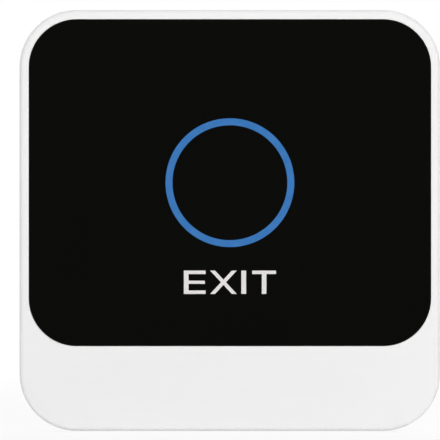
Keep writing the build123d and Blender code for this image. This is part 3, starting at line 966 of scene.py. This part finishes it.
@dataclass
class FrontCover:
    """The white frame with its black panel, the light ring and the printed word."""

    ring_lamps: int = 8

    def build(self) -> None:
        """Prints the word on the panel's face."""
        PrintedWord().build(-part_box("touch_panel")[0].y)

    def dress(self) -> None:
        """Dresses the frame, the panel, its adhesive and the ring."""
        white = (0.85, 0.85, 0.848)
        satin = MouldedPlastic("satin_white_abs", white, Grain.SATIN, 0.42, tone=0.012, shine=0.25)
        satin.put_on("front_frame")
        sheet = PolishedSheet("polished_black_acrylic", (0.0022, 0.0022, 0.0018), (0.0029, 0.0029, 0.0024))
        sheet.put_on("touch_panel")
        tape = MouldedPlastic("foam_tape", (0.02, 0.02, 0.02), Grain.COARSE, 0.8, tone=0.2)
        tape.put_on("panel_adhesive")
        color, glow = (0.022, 0.115, 0.33), (0.05, 0.21, 0.5)
        resin = LitResin("lit_blue_resin", color, glow, 0.26, self.ring_lamps, middle_of("light_ring"))
        resin.put_on("light_ring")


@dataclass
class WallBase:
    """The base with its flange and wiring box."""

    def dress(self) -> None:
        """Dresses the base in plain moulded plastic, rougher than the front."""
        plastic = MouldedPlastic("sparked_white_abs", (0.8, 0.8, 0.795), Grain.SPARKED, 0.5, tone=0.03)
        plastic.put_on("base_housing")


@dataclass
class TouchSpring:
    """Conical coil of round wire with a flat turn at each end, in millimetres."""

    wire: float = 0.6
    base_radius: float = 2.7
    top_radius: float = 3.9
    flat_turns: float = 0.8
    rising_turns: float = 1.9
    steady_widening: float = 0.12
    steps_per_turn: int = 40
    wire_sides: int = 12

    def build(self) -> None:
        """Winds the coil where the plain one is that it replaces, round the ring's middle.

        The angle runs evenly from end to end. The height keeps still over the flat turns and
        eases from one end to the other between them. A small share of the radius grows evenly from
        end to end, and the rest grows with the height.
        """
        low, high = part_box("touch_spring")
        wire = self.wire * MM / 2
        centre = middle_of("light_ring") * (1.0, 0.0, 1.0)
        base_radius, top_radius = self.base_radius * MM, self.top_radius * MM
        turns = 2 * self.flat_turns + self.rising_turns
        turn = np.linspace(0.0, turns, int(turns * self.steps_per_turn))
        climb = np.clip((turn - self.flat_turns) / self.rising_turns, 0.0, 1.0)
        ease = climb * climb * (3.0 - 2.0 * climb)
        widening = self.steady_widening * turn / turns + (1.0 - self.steady_widening) * ease
        radius = base_radius + (top_radius - base_radius) * widening
        level = (high.y - wire) + (low.y - high.y + 2 * wire) * ease
        angle = 2.0 * np.pi * turn
        path = np.column_stack([radius * np.cos(angle), level, radius * np.sin(angle)])
        points, faces = tube(path, wire, self.wire_sides)
        steel = PlatedMetal("spring_wire", (0.5, 0.49, 0.46), (0.36, 0.35, 0.31), 0.25)
        piece = new_piece("wound_spring", (points + centre, faces), steel, rounded=True)
        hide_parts("touch_spring")


@dataclass
class SolderJoints:
    """Solder round the pins that come through the board, in millimetres from each part's middle."""

    square_pin: Vector3 = (1.15, 0.68, 0.5)
    round_pin: Vector3 = (0.95, 0.34, 0.8)
    fine_pin: Vector3 = (0.52, 0.2, 0.5)
    sides: int = 16
    steps: int = 5
    poles: int = 5
    pole_pitch: float = 3.81
    pole_inset: float = 0.45
    relay: Offsets = ((-6.2, -3.8), (-6.2, 3.8), (6.2, -3.8), (6.2, 3.8), (-2.2, 0.0))
    trimmer: Offsets = ((-2.5, -1.6), (2.5, -1.6), (0.0, 2.5))
    capacitor: Offsets = ((-1.25, 0.0), (1.25, 0.0))
    buzzer: Offsets = ((-3.25, 0.0), (3.25, 0.0))
    cased_part: Offsets = ((-1.27, 0.0), (0.0, 0.0), (1.27, 0.0))

    def fillets(self, node: str, joint: Vector3, offsets: Offsets) -> list[Shape]:
        """Makes the fillets of one part's pins on the board's front.

        Ring k of a fillet stands off the board by the height times t, where t grows evenly from 0
        to 1. Its radius is the pin's plus what the board's has more, times one less t, squared:
        wide on the board and steep at the pin.

        Args:
            node: The part.
            joint: Radius on the board, radius at the pin and height.
            offsets: The pins' offsets in X and Z from the part's middle.

        Returns:
            A shape for each fillet.
        """
        pad, pin, height = (value * MM for value in joint)
        share = np.linspace(0.0, 1.0, self.steps + 1)[:, None]
        turn = corners_of(self.sides)
        radius = pin + (pad - pin) * (1.0 - share) ** 2
        level = np.broadcast_to(-height * share, (self.steps + 1, self.sides))
        rings = np.stack([radius * np.cos(turn), level, radius * np.sin(turn)], axis=-1)
        middle, front = middle_of(node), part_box("circuit_board")[0].y
        return [skin(rings + (middle[0] + x * MM, front, middle[2] + z * MM)) for x, z in offsets]

    def build(self) -> None:
        """Solders the pins of the terminals and of the parts that stand on the board."""
        low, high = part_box("contact_tongues")
        half = (high.z - low.z) / 2 / MM - self.pole_inset
        poles = tuple(((n - (self.poles - 1) / 2) * self.pole_pitch, half) for n in range(self.poles))
        groups = (
            ("contact_tongues", self.square_pin, poles),
            ("relay", self.round_pin, self.relay),
            ("trimmer_body", self.round_pin, self.trimmer),
            ("filter_capacitor", self.round_pin, self.capacitor),
            ("buzzer", self.round_pin, self.buzzer),
            ("voltage_regulator", self.fine_pin, self.cased_part),
            ("relay_transistor", self.fine_pin, self.cased_part),
        )
        shapes = [shape for group in groups for shape in self.fillets(*group)]
        solder = PlatedMetal("solder", (0.56, 0.56, 0.55), (0.42, 0.42, 0.41), 0.22)
        new_piece("solder_joints", together(shapes), solder, rounded=True)


@dataclass
class PrintedMarks:
    """Pale marks, in millimetres: a dot at the first lead of each chip, a band on each diode."""

    dot_radius: float = 0.28
    dot_corners: int = 20
    dot_offset: Pair = (-1.85, -1.3)
    band_width: float = 2.0
    band_height: float = 0.55
    band_offset: float = 1.45
    diode_pitch: float = 3.5
    film: float = 0.012

    def build(self) -> None:
        """Prints the marks on the faces that look into the wiring box.

        A dot's outline is a circle's, and a band's is a rectangle.
        """
        turn = corners_of(self.dot_corners)
        dot = np.column_stack([np.cos(turn), np.sin(turn)]) * self.dot_radius
        band = SQUARE * (self.band_width / 2, self.band_height / 2)
        marks = [(dot + self.dot_offset, chip) for chip in ("touch_chip", "timer_chip")]
        for aside in (-self.diode_pitch / 2, self.diode_pitch / 2):
            marks.append((band + (aside, self.band_offset), "rectifier_diodes"))
        shapes = []
        for outline, node in marks:
            face = -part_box(node)[1].y
            levels = (face - self.film * MM, face + self.film * MM)
            shapes.append(prism(outline * MM + middle_of(node)[[0, 2]], levels))
        ink = PrintedInk("pale_marking_ink", (0.5, 0.5, 0.48), (0.4, 0.4, 0.38))
        new_piece("part_markings", together(shapes), ink)


@dataclass
class ControlBoard:
    """The circuit board with what is screwed and soldered to it, in millimetres."""

    lamp_inset: float = 0.7
    chip_lead: float = 1.0
    case_lead: float = 2.0
    diode_lead: float = 0.4
    cap: float = 0.4

    def build(self) -> None:
        """Winds the touch spring, solders the pins and prints the marks."""
        for parts in (TouchSpring(), SolderJoints(), PrintedMarks()):
            parts.build()

    def dress(self) -> None:
        """Dresses the board and all that stands on it."""
        lacquer, track, fibre = (0.01, 0.105, 0.04), (0.018, 0.16, 0.06), (0.42, 0.45, 0.22)
        LacqueredBoard("lacquered_board", lacquer, track, fibre).put_on("circuit_board")
        PlatedMetal("zinc_plate", (0.5, 0.51, 0.51), (0.34, 0.35, 0.36), 0.3).put_on("board_screws")
        MouldedPlastic("relay_case", (0.015, 0.09, 0.36), Grain.SATIN, 0.3, tone=0.06).put_on("relay")
        MouldedPlastic("buzzer_case", (0.015, 0.015, 0.015), Grain.SATIN, 0.4, tone=0.1).put_on("buzzer")
        self.dress_lamps()
        self.dress_capacitor()
        self.dress_tinned()

    def dress_lamps(self) -> None:
        """Dresses the lamps, whose circle lies a little inside the ring's outer edge."""
        low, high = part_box("light_ring")
        circle = (high.x - low.x) / 2 - self.lamp_inset * MM
        case, phosphor = (0.78, 0.77, 0.72), (0.72, 0.55, 0.1)
        LampResin("lamp_resin", case, phosphor, middle_of("light_ring"), circle).put_on("ring_lamps")

    def dress_capacitor(self) -> None:
        """Dresses the capacitor, whose bare end faces the wall."""
        low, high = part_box("filter_capacitor")
        sleeve = MouldedPlastic("sleeve", (0.02, 0.02, 0.028), Grain.POLISHED, 0.25, tone=0.1, spread=0.1)
        stripe, metal, centre = (0.42, 0.42, 0.4), (0.32, 0.32, 0.33), middle_of("filter_capacitor")
        can = SleevedCan("capacitor_can", sleeve, stripe, metal, centre, (high.x - low.x) / 2, high.y)
        can.put_on("filter_capacitor")

    def dress_tinned(self) -> None:
        """Dresses the parts with tinned leads or caps."""
        black = MouldedPlastic("black_epoxy", (0.02, 0.02, 0.02), Grain.SPARKED, 0.55, 0.15, 0.1)
        glaze = MouldedPlastic("black_glaze", (0.015, 0.015, 0.015), Grain.POLISHED, 0.2, 0.15, 0.1)
        fired = MouldedPlastic("fired_tan", (0.35, 0.24, 0.14), Grain.COARSE, 0.5, 0.15, 0.1)
        up, lead, cap, foot = Along.HEIGHT, self.chip_lead, self.cap, self.case_lead
        for name, body, along, low_end, high_end, *nodes in (
            ("chip_body", black, up, lead, lead, "touch_chip", "timer_chip"),
            ("cased_part_body", black, Along.DEPTH, foot, 0.0, "voltage_regulator", "relay_transistor"),
            ("diode_body", black, up, self.diode_lead, self.diode_lead, "rectifier_diodes"),
            ("glazed_chip", glaze, up, cap, cap, "chip_resistors"),
            ("fired_ceramic", fired, up, cap, cap, "ceramic_capacitors"),
        ):
            TinnedEnds(name, body, nodes[0], along, low_end, high_end).put_on(*nodes)


@dataclass
class TerminalSet:
    """The terminal block with its clamps, tongues and screws."""

    def dress(self) -> None:
        """Dresses the block and its metal parts."""
        block = MouldedPlastic("green_polyamide", (0.03, 0.27, 0.09), Grain.SATIN, 0.38, tone=0.06)
        block.put_on("terminal_block")
        PlatedMetal("nickel_plate", (0.5, 0.48, 0.42), (0.36, 0.34, 0.28), 0.28).put_on("wire_clamps")
        PlatedMetal("tin_plate", (0.54, 0.52, 0.48), (0.42, 0.38, 0.3), 0.32).put_on("contact_tongues")
        PlatedMetal("zinc_screws", (0.42, 0.43, 0.43), (0.28, 0.29, 0.3), 0.34).put_on("terminal_screws")


@dataclass
class DelayTrimmer:
    """The trimmer that sets the release time."""

    def dress(self) -> None:
        """Dresses the case and the rotor."""
        case = MouldedPlastic("trimmer_case", (0.02, 0.12, 0.45), Grain.POLISHED, 0.25, tone=0.05)
        case.put_on("trimmer_body")
        rotor = MouldedPlastic("rotor_plastic", (0.75, 0.74, 0.7), Grain.SATIN, 0.4, tone=0.03)
        rotor.put_on("trimmer_rotor")


@dataclass(frozen=True)
class Softbox:
    """Square lamp that points at the middle of the object."""

    name: str
    place: Vector3
    size: float
    level: float

    def build(self) -> None:
        """Hangs the lamp.

        Its power is pi squared times the distance squared times the level, which lights a surface
        that faces it to that share of its written colour. Polished surfaces don't mirror it.
        """
        distance = math.dist(self.place, (0.0, 0.0, 0.0))
        lamp = bpy.data.lights.new(self.name, "AREA")
        lamp.shape = "SQUARE"
        lamp.size = self.size
        lamp.energy = self.level * (math.pi * distance) ** 2
        holder = put_in_scene(self.name, lamp, self.place)
        x, y, z = self.place
        holder.rotation_euler = (math.acos(z / distance), 0.0, math.atan2(y, x) + math.pi / 2)
        holder.visible_camera = False
        holder.visible_glossy = False
        log.info("%s: %.2f W at %.2f m", self.name, lamp.energy, distance)


@dataclass
class Studio:
    """White surroundings, a pale floor and four soft lamps."""

    ambient: float = 0.3
    dark_room: float = 0.04
    dark_cone: Pair = (0.55, 0.92)
    floor_color: Color = (0.95, 0.95, 0.95)
    floor_reach: float = 3.0
    floor_gap: float = 0.0002
    floor_shade: float = 0.1
    shadow_reach: Pair = (0.07, 0.26)
    white: Color = (1.0, 1.0, 1.0)

    def build(self) -> None:
        """Builds the surroundings, the floor and the lamps."""
        self.build_world()
        self.build_floor()
        for softbox in (
            Softbox("key_lamp", (0.4, -1.05, 0.32), 0.5, 0.45),
            Softbox("fill_lamp", (-0.55, -1.05, -0.02), 0.5, 0.408),
            Softbox("top_lamp", (0.0, 0.1, 0.9), 0.6, 0.14),
            Softbox("rear_lamp", (0.35, 0.8, 0.35), 0.6, 0.42),
        ):
            softbox.build()

    def build_world(self) -> None:
        """Makes the surroundings.

        Diffuse light is even and grey. The camera, mirror images and what is seen through clear
        things meet plain white, except that mirror images of the room behind the camera, within a
        cone about -Y, are dark, as an unlit room is, and brighten gradually round it.
        """
        world = bpy.data.worlds.new("studio_world")
        world.use_nodes = True
        graph = NodeGraph(world.node_tree)
        rays = graph.add("LightPath").outputs
        direct = graph.math("MAXIMUM", rays["Is Camera Ray"], rays["Is Transmission Ray"])
        seen = graph.math("MAXIMUM", direct, rays["Is Glossy Ray"])
        toward = graph.split(graph.add("TexCoord").outputs["Generated"])
        back = graph.math("MULTIPLY", toward["Y"], -1.0)
        room = graph.remap(back, self.dark_cone, (1.0, self.dark_room))
        strength = graph.mix(seen, self.ambient, graph.math("MAXIMUM", direct, room))
        light = graph.add("Background", {"Color": self.white, "Strength": strength})
        graph.add("OutputWorld", {"Surface": light.outputs[0]})
        bpy.context.scene.world = world

    def floor_material(self) -> Material:
        """Makes the floor's material.

        Seen by the camera, most of the floor's white is its own and the rest is lit, so it keeps a
        light shadow. The lit share falls to nothing with the distance from the object, where the
        floor runs into the white surroundings. From below, the floor is clear.

        Returns:
            The material.
        """
        material = bpy.data.materials.new("pale_floor")
        material.use_nodes = True
        graph = NodeGraph(material.node_tree)
        rays = graph.add("LightPath").outputs
        seen = graph.math("MAXIMUM", rays["Is Camera Ray"], rays["Is Transmission Ray"])
        shade = graph.remap(graph.length(graph.place), self.shadow_reach, (self.floor_shade, 0.0))
        lit = graph.add("BsdfDiffuse", {"Color": self.floor_color})
        own = graph.add("Emission", {"Color": self.white, "Strength": 1.0})
        share = graph.math("MULTIPLY", seen, graph.math("SUBTRACT", 1.0, shade))
        surface = graph.add("MixShader", {0: share, 1: lit.outputs[0], 2: own.outputs[0]})
        clear = graph.add("BsdfTransparent")
        below = graph.add("NewGeometry").outputs["Backfacing"]
        sided = graph.add("MixShader", {0: below, 1: surface.outputs[0], 2: clear.outputs[0]})
        graph.add("OutputMaterial", {"Surface": sided.outputs[0]})
        return material

    def build_floor(self) -> None:
        """Lays the floor, a square just under the object."""
        level = np.full(len(SQUARE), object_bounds()[0].z - self.floor_gap)
        shape = (np.column_stack([SQUARE * self.floor_reach, level]), [[0, 1, 2, 3]])
        floor = new_mesh("floor", shape, self.floor_material())
        floor.visible_glossy = False
        floor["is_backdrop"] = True


@dataclass
class PhotoCamera:
    """Camera that looks straight at the front. Its lens and sensor are in millimetres."""

    picture_px: float = 440.0
    body_px: float = 420.6
    body_x_px: float = 229.9
    body_y_px: float = 220.4
    front_width: float = 0.0857
    front_level: float = 0.0088
    lens: float = 250.0
    sensor: float = 36.0

    def build(self) -> None:
        """Places the camera.

        The picture is as wide as the front times the picture's pixels over the body's. The
        distance is that width times the lens over the sensor, and the camera stands aside by the
        body's offset from the picture's middle.
        """
        scale = self.front_width / self.body_px
        distance = scale * self.picture_px * self.lens / self.sensor
        middle = self.picture_px / 2
        data = bpy.data.cameras.new("photo_camera")
        data.lens = self.lens
        data.sensor_width = self.sensor
        data.clip_start = 0.01
        aside, raised = (middle - self.body_x_px) * scale, (self.body_y_px - middle) * scale
        camera = put_in_scene("photo_camera", data, (aside, -self.front_level - distance, raised))
        camera.rotation_euler = (math.pi / 2, 0.0, 0.0)
        bpy.context.scene.camera = camera
        log.info("camera: %.3f m in front of the plate", distance)


def main() -> None:
    """Builds and dresses the button, then the studio and the camera."""
    logging.basicConfig(level=logging.INFO, format="%(message)s")
    front = FrontCover()
    front.build()
    front.dress()
    WallBase().dress()
    board = ControlBoard()
    board.build()
    board.dress()
    TerminalSet().dress()
    DelayTrimmer().dress()
    Studio().build()
    PhotoCamera().build()
    bpy.context.scene.view_settings.view_transform = "Standard"


if __name__ == "__main__":
    main()
